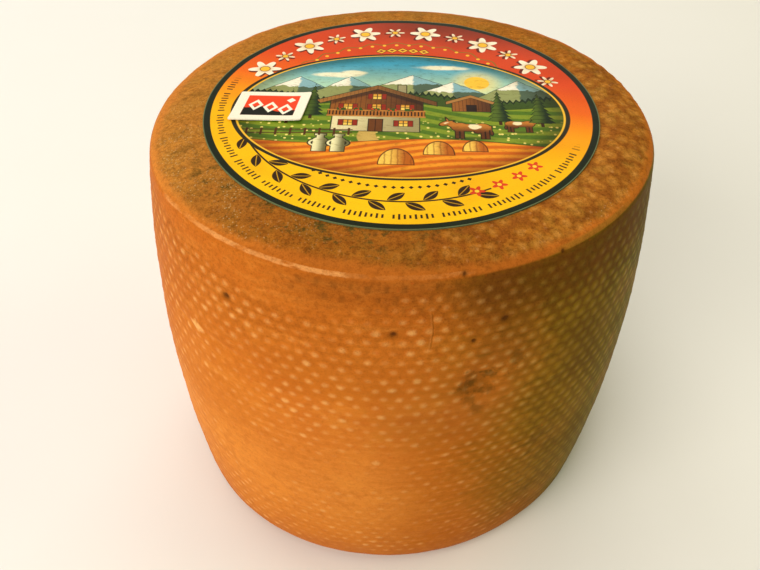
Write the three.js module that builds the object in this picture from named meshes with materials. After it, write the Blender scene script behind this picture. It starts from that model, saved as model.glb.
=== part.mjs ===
// A whole, uncut wheel of washed-rind mountain cheese, a squat barrel that stands on its flat foot.
// It was pressed in a perforated hoop, so it bellies a little, leans a little and is not quite round.
// A round printed paper label is stuck on its top, and a small rectangular card sticker on the label.
// Millimetres, +Z up, with the origin at the centre of the flat foot.

import * as THREE from "three";

// Wheel: the driving sizes.
const HEIGHT = 92;
const TOP_RADIUS = 51.1; // the side carried up to the top's level
const FOOT_RADIUS = 52.35; // the side carried down to the foot's level
const BELLY = 3.55; // how far the side swells out half way up
const SEAT_RADIUS = 42; // the level middle of the top, which the label covers
const CROWN_DROP = 1.7; // how far the top falls from its level middle to its rim
const RIM_ROUND = 2.8; // radius of the rounded rim at the top
const FOOT_ROUND = 4.5; // radius of the rounded edge at the foot
const RIM_WIDTH = 7.6; // from the edge of the level middle to the start of the rounded rim

// Wheel: how far it strays from a true round.
const LEAN = { x: 0.92, y: 0.51 }; // the top's centre against the foot's
const OVAL = { depth: 0.55, turn: 0.675 }; // long axis, in radians from +X
const WAVES = [
  { lobes: 3, depth: 0.31, turn: 1.34, twist: 0.8 },
  { lobes: 5, depth: 0.08, turn: 0.16, twist: -1.7 },
  { lobes: 8, depth: 0.07, turn: 0.3, twist: 2.6 },
];
const RIM_SAGS = [
  { lobes: 1, depth: 0.12, turn: -1.22 },
  { lobes: 4, depth: 0.21, turn: 4.62 },
]; // the rim's rise and fall
const LIP = { angle: -2.1, spread: 0.75, height: 0.45 }; // the stretch where the rim stands up as a lip
const SCAR = { angle: -1.283, z: 66, radius: 4.2, depth: 0.9 }; // a sunken scar in the rind
const MIDDLE_DENT = { angle: -2.45, z: 59, radius: 9, depth: 0.35 }; // a shallow thumb-wide hollow

// Paper pieces.
const LABEL_RADIUS = 40.5;
const LABEL_THICKNESS = 0.25;
const LABEL_CENTRE = { x: 0.76, y: -0.16 };
const CARD = { width: 14.9, height: 11.2, corner: 0.35, thickness: 0.25 };
const CARD_SKEW = 0.107; // cut out of square: how far its upright edges lean to the right, per mm
const CARD_CENTRE = { x: -26.1, y: -1.65 };

// How finely the round forms are divided.
const AROUND = 108;
const WALL_STEPS = 18;
const RIM_STEPS = 5;
const FOOT_STEPS = 5;
const CROWN_STEPS = 4;
const LABEL_AROUND = 72;
const CORNER_STEPS = 3;

// Radius of the side at a height, before it is made uneven.
function wallRadius(z) {
  const share = z / HEIGHT;
  return FOOT_RADIUS + (TOP_RADIUS - FOOT_RADIUS) * share + BELLY * 4 * share * (1 - share);
}

// How fast the side's radius grows with height.
function wallSlope(z) {
  return (TOP_RADIUS - FOOT_RADIUS + BELLY * 4 * (1 - (2 * z) / HEIGHT)) / HEIGHT;
}

// Points of an arc, from one angle to another, both ends included.
function arc(centre, radius, from, to, steps) {
  return Array.from({ length: steps + 1 }, (_, i) => {
    const angle = from + ((to - from) * i) / steps;
    return new THREE.Vector2(
      centre.r + radius * Math.cos(angle),
      centre.z + radius * Math.sin(angle),
    );
  });
}

// The half outline from the middle of the foot, out and up the side, and in over the top to its middle.
function wheelOutline() {
  const footLean = Math.atan(wallSlope(FOOT_ROUND));
  const footWallZ = FOOT_ROUND * (1 - Math.sin(footLean));
  const foot = {
    r: wallRadius(footWallZ) - FOOT_ROUND * Math.cos(footLean),
    z: FOOT_ROUND,
  };

  const crownSlope = Math.atan((2 * CROWN_DROP) / RIM_WIDTH);
  const rimZ = HEIGHT - CROWN_DROP - RIM_ROUND * Math.cos(crownSlope);
  const rimLean = Math.atan(-wallSlope(rimZ));
  const rimWallZ = rimZ + RIM_ROUND * Math.sin(rimLean);
  const rim = {
    r: wallRadius(rimWallZ) - RIM_ROUND * Math.cos(rimLean),
    z: rimZ,
  };

  const wall = Array.from({ length: WALL_STEPS - 1 }, (_, i) => {
    const z = footWallZ + ((rimWallZ - footWallZ) * (i + 1)) / WALL_STEPS;
    return new THREE.Vector2(wallRadius(z), z);
  });
  const rimArc = arc(rim, RIM_ROUND, rimLean, Math.PI / 2 - crownSlope, RIM_STEPS);
  const rimEnd = rimArc[rimArc.length - 1];
  const crown = Array.from({ length: CROWN_STEPS }, (_, i) => {
    const share = 1 - (i + 1) / CROWN_STEPS;
    const r = SEAT_RADIUS + (rimEnd.x - SEAT_RADIUS) * share;
    return new THREE.Vector2(r, HEIGHT - (HEIGHT - rimEnd.y) * share ** 2);
  });
  return [
    new THREE.Vector2(0, 0),
    ...arc(foot, FOOT_ROUND, -Math.PI / 2, -footLean, FOOT_STEPS),
    ...wall,
    ...rimArc,
    ...crown,
    new THREE.Vector2(0, HEIGHT),
  ];
}

// A soft round dent on the side: 1 at its middle and nearly 0 two radii away.
function dent(place, angle, z, radius) {
  const turn = Math.atan2(Math.sin(angle - place.angle), Math.cos(angle - place.angle));
  const away = Math.hypot(turn * radius, z - place.z) / place.radius;
  return place.depth * Math.exp(-(away ** 2) * 1.6);
}

// 0 on the level middle of the top, rising to 1 at the rim.
function towardsRim(radius) {
  return THREE.MathUtils.smoothstep(radius, SEAT_RADIUS, SEAT_RADIUS + RIM_WIDTH);
}

// Turns a true round of the outline into the real, uneven and leaning wheel.
function makeUneven(geometry) {
  const place = geometry.getAttribute("position");
  for (let i = 0; i < place.count; i += 1) {
    const x = place.getX(i);
    const y = place.getY(i);
    let z = place.getZ(i);
    const radius = Math.hypot(x, y);
    const angle = Math.atan2(y, x);
    const share = z / HEIGHT;

    let grow = OVAL.depth * Math.cos(2 * (angle - OVAL.turn));
    for (const wave of WAVES) {
      grow += wave.depth * Math.sin(wave.lobes * angle + wave.turn + wave.twist * share);
    }
    grow -= dent(SCAR, angle, z, radius) + dent(MIDDLE_DENT, angle, z, radius);
    const stretch = radius > SEAT_RADIUS ? 1 + grow / TOP_RADIUS : 1;

    if (z > HEIGHT / 2) {
      const awayFromLip = Math.atan2(Math.sin(angle - LIP.angle), Math.cos(angle - LIP.angle));
      const lip = LIP.height * Math.exp(-((awayFromLip / LIP.spread) ** 2));
      let rise = lip;
      for (const sag of RIM_SAGS) {
        rise += sag.depth * Math.sin(sag.lobes * angle + sag.turn);
      }
      z += rise * towardsRim(radius) * THREE.MathUtils.smoothstep(share, 0.9, 0.98);
    }
    place.setXYZ(i, x * stretch + LEAN.x * share, y * stretch + LEAN.y * share, z);
  }
  geometry.computeVertexNormals();
  return geometry;
}

function cheeseWheel() {
  const round = new THREE.LatheGeometry(wheelOutline(), AROUND);
  round.rotateX(Math.PI / 2);
  const rind = new THREE.MeshStandardMaterial({ color: 0xc47832, roughness: 0.6, metalness: 0 });
  const mesh = new THREE.Mesh(makeUneven(round), rind);
  mesh.name = "cheese_wheel";
  return mesh;
}

// The round paper label lies on the level middle of the top.
function roundLabel() {
  const disc = new THREE.CylinderGeometry(LABEL_RADIUS, LABEL_RADIUS, LABEL_THICKNESS, LABEL_AROUND);
  disc.rotateX(Math.PI / 2);
  const paper = new THREE.MeshStandardMaterial({ color: 0xf2b41c, roughness: 0.45, metalness: 0 });
  const mesh = new THREE.Mesh(disc, paper);
  mesh.name = "round_label";
  mesh.position.set(LABEL_CENTRE.x, LABEL_CENTRE.y, HEIGHT + LABEL_THICKNESS / 2);
  return mesh;
}

// The small card sticker lies on the label, with slightly rounded corners.
function cardSticker() {
  const outline = new THREE.Shape();
  const halfWidth = CARD.width / 2 - CARD.corner;
  const halfHeight = CARD.height / 2 - CARD.corner;
  const corners = [
    [halfWidth, halfHeight],
    [-halfWidth, halfHeight],
    [-halfWidth, -halfHeight],
    [halfWidth, -halfHeight],
  ];
  corners.forEach(([x, y], i) => {
    outline.absarc(x, y, CARD.corner, (i * Math.PI) / 2, ((i + 1) * Math.PI) / 2, false);
  });
  const slab = new THREE.ExtrudeGeometry(outline, {
    depth: CARD.thickness,
    bevelEnabled: false,
    curveSegments: CORNER_STEPS,
  });
  slab.applyMatrix4(new THREE.Matrix4().makeShear(0, 0, CARD_SKEW, 0, 0, 0));
  const card = new THREE.MeshStandardMaterial({ color: 0xf0ebdc, roughness: 0.5, metalness: 0 });
  const mesh = new THREE.Mesh(slab, card);
  mesh.name = "card_sticker";
  mesh.position.set(CARD_CENTRE.x, CARD_CENTRE.y, HEIGHT + LABEL_THICKNESS);
  return mesh;
}

const wheel = new THREE.Group();
wheel.add(cheeseWheel(), roundLabel(), cardSticker());

export default wheel;
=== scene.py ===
# A whole washed-rind mountain cheese with a round paper label and a small card sticker on its top.
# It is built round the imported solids, in metres with +Z up. Sizes are given in millimetres and
# multiplied by MM, and each section makes one piece, in the order in which the real thing is made.

import math

import bpy
import numpy as np
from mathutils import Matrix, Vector, noise


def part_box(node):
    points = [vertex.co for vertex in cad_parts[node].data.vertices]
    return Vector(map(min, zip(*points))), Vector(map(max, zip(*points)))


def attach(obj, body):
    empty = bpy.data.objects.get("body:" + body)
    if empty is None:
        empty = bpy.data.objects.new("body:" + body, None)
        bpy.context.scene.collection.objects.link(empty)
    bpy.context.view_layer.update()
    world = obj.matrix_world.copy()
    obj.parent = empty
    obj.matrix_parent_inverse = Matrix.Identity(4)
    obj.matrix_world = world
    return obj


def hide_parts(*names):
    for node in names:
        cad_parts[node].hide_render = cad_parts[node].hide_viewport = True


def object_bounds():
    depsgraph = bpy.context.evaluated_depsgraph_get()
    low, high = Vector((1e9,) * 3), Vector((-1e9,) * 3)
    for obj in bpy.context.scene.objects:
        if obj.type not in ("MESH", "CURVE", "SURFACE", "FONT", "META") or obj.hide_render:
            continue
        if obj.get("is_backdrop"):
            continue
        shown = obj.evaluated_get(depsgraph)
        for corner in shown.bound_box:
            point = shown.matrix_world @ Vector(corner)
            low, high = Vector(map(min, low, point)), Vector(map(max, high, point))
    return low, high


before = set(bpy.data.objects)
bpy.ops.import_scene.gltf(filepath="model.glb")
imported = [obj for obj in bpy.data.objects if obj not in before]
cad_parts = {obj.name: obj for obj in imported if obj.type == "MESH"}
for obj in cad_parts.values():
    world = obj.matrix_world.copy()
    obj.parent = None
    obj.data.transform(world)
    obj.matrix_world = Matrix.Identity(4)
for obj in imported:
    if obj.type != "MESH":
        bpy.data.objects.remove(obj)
cad_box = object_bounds()

MM = 0.001


# Camera: held where the photographer's was, in front of the wheel and above it, looking 43 degrees
# down. Its place, turn and lens come from fitting the wheel's outline and the label's oval.
CAMERA_PLACE = Vector((1.45, -144.0, 176.3)) * MM
CAMERA_TURN = (math.radians(46.82), math.radians(-0.18), math.radians(2.10))
CAMERA_LENS = 37.1

bpy.ops.object.camera_add(location=CAMERA_PLACE, rotation=CAMERA_TURN)
camera = bpy.context.object
camera.name = "photo_camera"
camera.data.lens = CAMERA_LENS
camera.data.clip_start = 10 * MM
bpy.context.scene.camera = camera


# Cheese wheel: pressed in a perforated hoop, turned out, and washed until its rind is firm. The half
# outline is drawn point by point and spun, and pushed out of true as the real one is. Then the
# hoop's holes, the lip on the rim, the pits and the scar are raised from it or sunk in it.
WHEEL_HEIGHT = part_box("round_label")[0].z / MM  # up to the level middle of the top
TOP_RADIUS = 51.1  # the side carried up to the top's level
FOOT_RADIUS = 52.35  # the side carried down to the foot's level
BELLY = 3.55  # how far the side swells out half way up
CROWN_DROP = 1.7  # how far the top falls from its level middle to its rim
RIM_ROUND = 2.8
FOOT_ROUND = 4.5
SEAT_RADIUS = 42.0  # the level middle of the top
RIM_WIDTH = 7.6
RIM_STEPS = 14
STUDS_AROUND = 110  # studs left by the hoop's holes in one row
STUD_ROW = 2.27  # from one row of studs up to the next
STEPS_PER_STUD = 4  # mesh columns and rows for each stud
COLUMNS = STUDS_AROUND * STEPS_PER_STUD
MESH_ROW = STUD_ROW / STEPS_PER_STUD


def wall_radius(z):
    share = z / WHEEL_HEIGHT
    return FOOT_RADIUS + (TOP_RADIUS - FOOT_RADIUS) * share + BELLY * 4 * share * (1 - share)


def wall_slope(z):
    return (TOP_RADIUS - FOOT_RADIUS + BELLY * 4 * (1 - 2 * z / WHEEL_HEIGHT)) / WHEEL_HEIGHT


def arc(middle, radius, start, end, steps):
    angles = [start + (end - start) * i / steps for i in range(steps + 1)]
    return [(middle[0] + radius * math.cos(a), middle[1] + radius * math.sin(a)) for a in angles]


def wheel_outline():
    """Points (radius, height) from the middle of the foot, out and up the side, and in over the top."""
    foot_lean = math.atan(wall_slope(FOOT_ROUND))
    foot_wall = FOOT_ROUND * (1 - math.sin(foot_lean))
    foot_middle = (wall_radius(foot_wall) - FOOT_ROUND * math.cos(foot_lean), FOOT_ROUND)
    foot_steps = round(FOOT_ROUND * math.pi / 2 / MESH_ROW)
    outline = [(0.0, 0.0), (foot_middle[0] - 2.0, 0.0)]
    outline += arc(foot_middle, FOOT_ROUND, -math.pi / 2, -foot_lean, foot_steps)

    crown_slope = math.atan(2 * CROWN_DROP / RIM_WIDTH)
    rim_height = WHEEL_HEIGHT - CROWN_DROP - RIM_ROUND * math.cos(crown_slope)
    rim_lean = math.atan(-wall_slope(rim_height))
    rim_wall = rim_height + RIM_ROUND * math.sin(rim_lean)
    rim_middle = (wall_radius(rim_wall) - RIM_ROUND * math.cos(rim_lean), rim_height)
    first_row = math.ceil((foot_wall + MESH_ROW / 2) / MESH_ROW)
    last_row = math.floor((rim_wall - MESH_ROW / 2) / MESH_ROW)
    for row in range(first_row, last_row + 1):
        outline.append((wall_radius(row * MESH_ROW), row * MESH_ROW))
    rim_arc = arc(rim_middle, RIM_ROUND, rim_lean, math.pi / 2 - crown_slope, RIM_STEPS)
    outline += rim_arc

    rim_end = rim_arc[-1]
    crown_steps = round((rim_end[0] - SEAT_RADIUS) / MESH_ROW)
    for i in range(1, crown_steps + 1):
        share = 1 - i / crown_steps
        radius = SEAT_RADIUS + (rim_end[0] - SEAT_RADIUS) * share
        outline.append((radius, WHEEL_HEIGHT - (WHEEL_HEIGHT - rim_end[1]) * share**2))
    outline += [(SEAT_RADIUS - MESH_ROW * i, WHEEL_HEIGHT) for i in range(1, 6)]
    return outline + [(0.0, WHEEL_HEIGHT)]


bpy.ops.object.select_all(action="DESELECT")
bpy.ops.mesh.primitive_plane_add(size=MM)
wheel = bpy.context.object
wheel.name = "cheese_rind"
bpy.ops.object.mode_set(mode="EDIT")
bpy.ops.mesh.merge(type="CENTER")
outline = wheel_outline()
for here, there in zip(outline, outline[1:]):
    step = ((there[0] - here[0]) * MM, 0, (there[1] - here[1]) * MM)
    bpy.ops.mesh.extrude_region_move(TRANSFORM_OT_translate={"value": step})
bpy.ops.mesh.select_all(action="SELECT")
bpy.ops.mesh.spin(steps=COLUMNS, angle=2 * math.pi, center=(0, 0, 0), axis=(0, 0, 1))
bpy.ops.mesh.select_all(action="SELECT")
bpy.ops.mesh.remove_doubles(threshold=0.02 * MM)
bpy.ops.mesh.normals_make_consistent(inside=False)
bpy.ops.object.mode_set(mode="OBJECT")

# How the wheel strays from a true round: its lean, its long axis, its waves round the side, the rise
# and fall of its rim, and the dents that are big enough to feel. Angles are in radians from +X.
LEAN = (0.92, 0.51)  # the top's centre against the foot's
OVAL_DEPTH = 0.55
OVAL_TURN = 0.675
WAVES = [(3, 0.31, 1.34, 0.8), (5, 0.08, 0.16, -1.7), (8, 0.07, 0.3, 2.6)]  # lobes, depth, turn, twist
RIM_SAGS = [(1, 0.12, -1.22), (4, 0.21, 4.62)]  # lobes, depth, turn
LIP_RISE = (-2.1, 0.75, 0.45)  # angle, spread and height
SCAR = (-1.267, 65.0, 4.2, 0.9)  # angle, height, radius and depth
THUMB_HOLLOW = (-2.45, 59.0, 9.0, 0.35)


def ease(value, start, end):
    """0 before start and 1 after end, with a soft change between them."""
    share = np.clip((value - start) / (end - start), 0, 1)
    return share * share * (3 - 2 * share)


def turn_from(angle, middle):
    return np.arctan2(np.sin(angle - middle), np.cos(angle - middle))


def dent(place, angle, z, radius):
    middle, height, width, depth = place
    away = np.hypot(turn_from(angle, middle) * radius, z - height) / width
    return depth * np.exp(-1.6 * away**2)


def read_points(mesh, what="co"):
    flat = np.empty(len(mesh.vertices) * 3)
    mesh.vertices.foreach_get(what, flat)
    return flat.reshape(-1, 3)


def move_points(mesh, points):
    """Puts a mesh's points at these places, in millimetres."""
    mesh.vertices.foreach_set("co", (points * MM).ravel())
    mesh.update()


points = read_points(wheel.data) / MM
x, y, z = points.T
radius = np.hypot(x, y)
angle = np.arctan2(y, x)
height_share = z / WHEEL_HEIGHT
grow = OVAL_DEPTH * np.cos(2 * (angle - OVAL_TURN))
for lobes, depth, turn, twist in WAVES:
    grow += depth * np.sin(lobes * angle + turn + twist * height_share)
grow -= dent(SCAR, angle, z, radius) + dent(THUMB_HOLLOW, angle, z, radius)
stretch = 1 + grow / TOP_RADIUS * ease(radius, SEAT_RADIUS - 0.5, SEAT_RADIUS + 1)
rise = LIP_RISE[2] * np.exp(-((turn_from(angle, LIP_RISE[0]) / LIP_RISE[1]) ** 2))
for lobes, depth, turn in RIM_SAGS:
    rise += depth * np.sin(lobes * angle + turn)
rise *= ease(radius, SEAT_RADIUS, SEAT_RADIUS + RIM_WIDTH) * ease(height_share, 0.9, 0.98)
uneven = np.column_stack(
    (x * stretch + LEAN[0] * height_share, y * stretch + LEAN[1] * height_share, z + rise)
)
move_points(wheel.data, uneven)

# The relief: studs from the hoop's holes, a ridge of paste squeezed up along the rim, blisters round
# the label, pits and the rough floor of the scar. Each point moves along its own normal. What each
# stud is like, and where a point lay before the wheel was pushed out of true, stay on the mesh, so
# that the rind's colour can follow them.
STUD_HEIGHT = 0.16
STUD_REACH = (1.2, 1.0)  # half its width and half its height
STUD_DRIFT = 0.25  # how far a stud may sit from its place
STUD_ROWS = 60  # more than there are, so that every row has luck of its own
ROW_WAVER = (0.45, 3, 0.7)  # depth, lobes and turn
STUD_BAND = (3.5, 87.6)  # lowest and highest
SMOOTH_FRONT = (-1.98, 0.34, 5.2)  # where the band ends lower: angle, spread and by how much
RIDGE_PLACE = [(-2.56, 51.35, 89.1), (-2.40, 51.12, 89.48), (-2.12, 51.05, 89.56), (-1.75, 50.88, 89.75)]
RIDGE_RUN = [
    (-2.56, 0.0), (-2.49, 0.65), (-2.44, 0.5), (-2.39, 0.3), (-2.30, 0.55), (-2.21, 0.9), (-2.18, 0.7),
    (-2.125, 1.0), (-2.11, 0.15), (-2.095, 0.2), (-2.08, 0.9), (-2.02, 0.65), (-1.92, 0.85),
    (-1.745, 1.0), (-1.72, 0.2), (-1.50, 0.12), (-1.36, 0.4), (-1.30, 0.0),
]  # how strong the ridge is at each angle
RIDGE_HEIGHT = 0.4
PITS = [
    (-2.170, 78.6, 0.95, 0.45), (-1.573, 78.6, 0.85, 0.5), (-1.190, 78.9, 0.95, 0.45),
    (-1.301, 75.4, 0.6, 0.35), (-1.345, 89.6, 0.5, 0.35), (-0.977, 89.2, 0.5, 0.3),
    (0.610, 70.2, 0.9, 0.65), (1.930, 55.4, 0.85, 0.65), (2.720, 74.1, 0.9, 0.6),
]  # angle, height, radius and depth
SMUDGES = [
    (-1.270, 64.4, 4.0, 2.7, 0.34), (-1.305, 64.6, 1.9, 1.0, 0.36), (-1.292, 64.4, 0.7, 0.7, 0.45),
    (-1.232, 65.9, 1.7, 0.9, 0.55), (-1.244, 62.3, 2.3, 0.8, 0.45), (-1.303, 60.6, 1.5, 1.4, 0.4),
    (-1.268, 58.0, 1.6, 1.1, 0.45), (-0.96, 41.0, 3.4, 1.8, 0.35), (-1.13, 69.0, 1.4, 2.0, 0.3),
    (-1.17, 73.0, 7.0, 6.0, 0.34), (-1.36, 57.0, 15.0, 9.0, 0.2), (-0.80, 66.0, 9.0, 12.0, 0.28),
]  # dark stains, most of them in the scar: angle, height, reach sideways and upwards, strength
SCUFF = (-2.343, 65.8, 1.5)  # angle, height and radius
KNOB = (-1.619, 44.2, 0.9)
STREAK = (-2.27, 64.8)  # a cloth fold pressed in the side: its middle angle and height
CRACK = (-1.443, 79.0, 4.4)  # a hairline crack: angle, middle height and half its length


def waver(angle):
    depth, lobes, turn = ROW_WAVER
    return depth * np.sin(lobes * angle + turn) + 0.3 * depth * np.sin(7 * angle - turn)


def lumps(points, size, seed):
    """Soft lumps from -1 to 1, of about this size in millimetres."""
    return np.array([noise.noise(Vector(p) / size + Vector((seed, 0, 0))) for p in points])


def blisters(points, size):
    """Round cells, 1 in their middles and 0 or less between them."""
    return np.array([1 - 1.6 * noise.voronoi(Vector(p) / size)[0][0] for p in points])


normals = read_points(wheel.data, "normal")
stud_row = (z + waver(angle)) / STUD_ROW
row_number = np.rint(stud_row)
stud_column = angle / (2 * math.pi) * STUDS_AROUND + 0.5 * (row_number % 2)
column_number = np.rint(stud_column)
stud_luck = np.random.RandomState(11).rand(STUD_ROWS, STUDS_AROUND, 3)
luck = stud_luck[row_number.astype(int) % STUD_ROWS, column_number.astype(int) % STUDS_AROUND]
drift = (luck[:, :2] * 2 - 1) * STUD_DRIFT
worn = lumps(uneven, 17, 3) + 0.5 * lumps(uneven, 7, 5)
fresh_right = np.exp(-((turn_from(angle, -0.75) / 0.55) ** 2) - ((z - 60) / 34) ** 2)
strength = 0.30 + 0.16 * ease(z, 40, 60) + 0.28 * worn + 0.42 * luck[:, 2] ** 3
strength -= 0.16 * ease(z, 14, 30) * (1 - ease(z, 40, 58)) * ease(np.cos(angle + 2.2), 0.3, 0.8)
strength += fresh_right * (0.2 - 0.25 * luck[:, 2] ** 3)
strength = np.clip(strength, 0.05, 1) * ease(z, STUD_BAND[0], STUD_BAND[0] + 3)
smooth_front = np.exp(-((turn_from(angle, SMOOTH_FRONT[0]) / SMOOTH_FRONT[1]) ** 2))
band_top = STUD_BAND[1] - SMOOTH_FRONT[2] * smooth_front + worn + 2.0 * ease(np.cos(angle + 0.7), 0.4, 0.9)
strength *= 1 - ease(z, band_top - 3, band_top)
strength *= 1 - 0.5 * np.exp(-((turn_from(angle, -1.6) / 0.28) ** 2)) * ease(z, 79.5, 83)
across = (stud_column - column_number) * (2 * math.pi * radius / STUDS_AROUND) - drift[:, 0]
up = (stud_row - row_number) * STUD_ROW - drift[:, 1]
stud = np.clip(1 - (across / STUD_REACH[0]) ** 2 - (up / STUD_REACH[1]) ** 2, 0, 1) ** 2
calm_right = 1 - 0.5 * ease(np.cos(angle), 0.3, 0.9)
relief = STUD_HEIGHT * calm_right * (0.2 + 0.8 * strength) * stud * ease(strength, 0, 0.1)

on_side = 1 - ease(z, 86, 89)
on_ring = ease(z, 88.6, 90.4) * ease(radius, SEAT_RADIUS - 0.6, SEAT_RADIUS + 1.4)
relief += on_side * (0.12 * lumps(uneven, 12, 1) + 0.05 * lumps(uneven, 3.6, 2))
relief += on_ring * (0.09 * lumps(uneven, 4.2, 8) + 0.06 * lumps(uneven, 1.7, 9))
ring_right = ease(np.cos(angle + 0.5), 0.1, 0.7)
relief += on_ring * ring_right * 0.26 * np.clip(blisters(uneven, 2.5), -0.3, 1)

ridge_angles, ridge_radius, ridge_height = np.array(RIDGE_PLACE).T
run_angles, run_strength = np.array(RIDGE_RUN).T
ridge_wobble = 0.14 * lumps(uneven, 3.5, 21)
ridge_away = np.hypot(
    radius - np.interp(angle, ridge_angles, ridge_radius) - ridge_wobble,
    z - np.interp(angle, ridge_angles, ridge_height),
)
ridge_run = np.interp(angle, run_angles, run_strength, left=0, right=0)
relief += RIDGE_HEIGHT * ridge_run * np.exp(-((ridge_away / 0.5) ** 2))
for pit in PITS:
    relief -= dent(pit, angle, z, radius)
    strength *= 1 - dent((*pit[:2], 1.8, 1.0), angle, z, radius)
scar_away = np.hypot(turn_from(angle, SCAR[0]) * radius / 3.9, (z - SCAR[1]) / 2.7)
relief += 0.22 * lumps(uneven, 1.8, 4) * np.exp(-(scar_away**4))
relief += 0.16 * np.exp(-(((scar_away - 1.15) / 0.25) ** 2)) * np.clip(lumps(uneven, 3, 6) + 0.3, 0, 1)
for bump, height in ((SCUFF, 0.35), (KNOB, 0.22)):
    bump_away = np.hypot(turn_from(angle, bump[0]) * radius * 0.8, z - bump[1]) / bump[2]
    relief += height * np.exp(-2 * bump_away**2)
streak_along = np.exp(-((turn_from(angle, STREAK[0]) / 0.3) ** 2))
relief -= 0.22 * streak_along * np.exp(-(((z - STREAK[1] - 1.2 * lumps(uneven, 14, 12)) / 0.7) ** 2))

relief *= 1 - ease(-z, -1.5, -0.2)
move_points(wheel.data, uneven + normals * relief[:, None])
ridge_near = ridge_run * ease(-ridge_away, -3, -2)
kept_values = {
    "stud": (drift[:, 0], drift[:, 1], strength),
    "true_place": (radius, z, ridge_near),
    "ridge": (ridge_away, radius * 0, radius * 0),
}
for name, values in kept_values.items():
    kept = wheel.data.attributes.new(name, "FLOAT_VECTOR", "POINT")
    kept.data.foreach_set("vector", np.column_stack(values).ravel())
bpy.ops.object.shade_smooth()


class Wire:
    """One output inside a material. Python's sums on wires add Math nodes; add() makes any node."""

    def __init__(self, tree, socket):
        self.tree = tree
        self.socket = socket

    def add(self, kind, settings, sockets, output=0):
        """Adds a node: its settings first, then the values or wires of its sockets."""
        node = self.tree.nodes.new(kind)
        for name, setting in settings.items():
            if name == "stops":
                ramp = node.color_ramp
                while len(ramp.elements) < len(setting):
                    ramp.elements.new(1.0)
                for element, (place, colour) in zip(ramp.elements, setting):
                    element.position = place
                    element.color = colour
            else:
                setattr(node, name, setting)
        for key, value in sockets.items():
            if isinstance(value, Wire):
                self.tree.links.new(value.socket, node.inputs[key])
            else:
                node.inputs[key].default_value = value
        return Wire(self.tree, node.outputs[output])

    def maths(self, operation, *others):
        """A Math node on this wire and on other wires or numbers, in this order."""
        return self.add("ShaderNodeMath", {"operation": operation}, dict(enumerate((self, *others))))

    def __add__(self, other):
        return self.maths("ADD", other)

    def __sub__(self, other):
        return self.maths("SUBTRACT", other)

    def __rsub__(self, other):
        return self.add("ShaderNodeMath", {"operation": "SUBTRACT"}, {0: other, 1: self})

    def __mul__(self, other):
        return self.maths("MULTIPLY", other)

    def __truediv__(self, other):
        return self.maths("DIVIDE", other)

    def __mod__(self, other):
        return self.maths("FLOORED_MODULO", other)

    def __pow__(self, other):
        return self.maths("POWER", other)

    def __abs__(self):
        return self.maths("ABSOLUTE")

    def __round__(self):
        return self.maths("ROUND")

    __radd__ = __add__
    __rmul__ = __mul__

    def wave(self, depth):
        return self.maths("SINE") * depth

    def fraction(self, spacing):
        """How far along this is between one line of a row and the next, from 0 to 1."""
        return (self / spacing).maths("FRACT")

    def ease(self, start, end):
        """0 at start and 1 at end, with a soft change between them."""
        sockets = {"Value": self, "From Min": start, "From Max": end}
        return self.add("ShaderNodeMapRange", {"interpolation_type": "SMOOTHSTEP"}, sockets)

    def moved(self, scale, shift=(0, 0, 0)):
        """This place, scaled about its origin and then shifted."""
        return self.add("ShaderNodeMapping", {}, {0: self, 1: shift, 3: scale})

    def part(self, axis):
        return self.add("ShaderNodeSeparateXYZ", {}, {0: self}, "XYZ".index(axis))

    def blend(self, low, high):
        """One colour where this is 0, and another where it is 1."""
        return self.add("ShaderNodeMix", {"data_type": "RGBA"}, {0: self, 6: low, 7: high}, 2)

    def coat(self, other, mask):
        """This colour with another one laid over it where the mask is 1."""
        return self.add("ShaderNodeMix", {"data_type": "RGBA"}, {0: mask, 6: self, 7: other}, 2)

    def tint(self, other, mask):
        """This colour multiplied by another one where the mask is 1."""
        settings = {"data_type": "RGBA", "blend_type": "MULTIPLY"}
        return self.add("ShaderNodeMix", settings, {0: mask, 6: self, 7: other}, 2)

    def cloud(self, size, detail=2.0, rough=0.5, seed=0.0, stretch=(1, 1, 1)):
        """Cloudy noise round 0.5, with patches of about this size; the wire is a place in millimetres."""
        squeeze = [1 / (size * s) for s in stretch]
        moved = self.moved(squeeze, (seed, seed * 0.7, -seed))
        sockets = {"Vector": moved, "Scale": 1.0, "Detail": detail, "Roughness": rough}
        return self.add("ShaderNodeTexNoise", {}, sockets)

    def cells(self, size, seed=0.0):
        """Distance from the middle of the nearest of many round cells, in cell sizes."""
        sockets = {"Vector": self.moved([1 / size] * 3, (seed, -seed, seed * 0.6)), "Scale": 1.0}
        return self.add("ShaderNodeTexVoronoi", {"feature": "F1"}, sockets)


def new_finish(name, sheen):
    """A new material: its shader node, and the place on the piece in millimetres."""
    material = bpy.data.materials.new(name)
    material.use_nodes = True
    tree = material.node_tree
    shader = tree.nodes["Principled BSDF"]
    shader.inputs["Specular IOR Level"].default_value = sheen
    place = Wire(tree, tree.nodes.new("ShaderNodeTexCoord").outputs["Object"])
    return material, shader, place.moved((1 / MM, 1 / MM, 1 / MM))


def finish_with(shader, colour, roughness, height):
    """Feeds a shader its colour, its roughness, and a relief height in millimetres."""
    settings = {"Height": height, "Distance": MM, "Strength": 1.0}
    normal = height.add("ShaderNodeBump", {}, settings)
    for name, wire in (("Base Color", colour), ("Roughness", roughness), ("Normal", normal)):
        wire.tree.links.new(wire.socket, shader.inputs[name])


def ink(red, green, blue):
    """A printed or painted colour, given as it looks on a screen, 0 to 255."""
    levels = [level / 255 for level in (red, green, blue)]
    linear = [v / 12.92 if v <= 0.04045 else ((v + 0.055) / 1.055) ** 2.4 for v in levels]
    return (*linear, 1.0)


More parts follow.
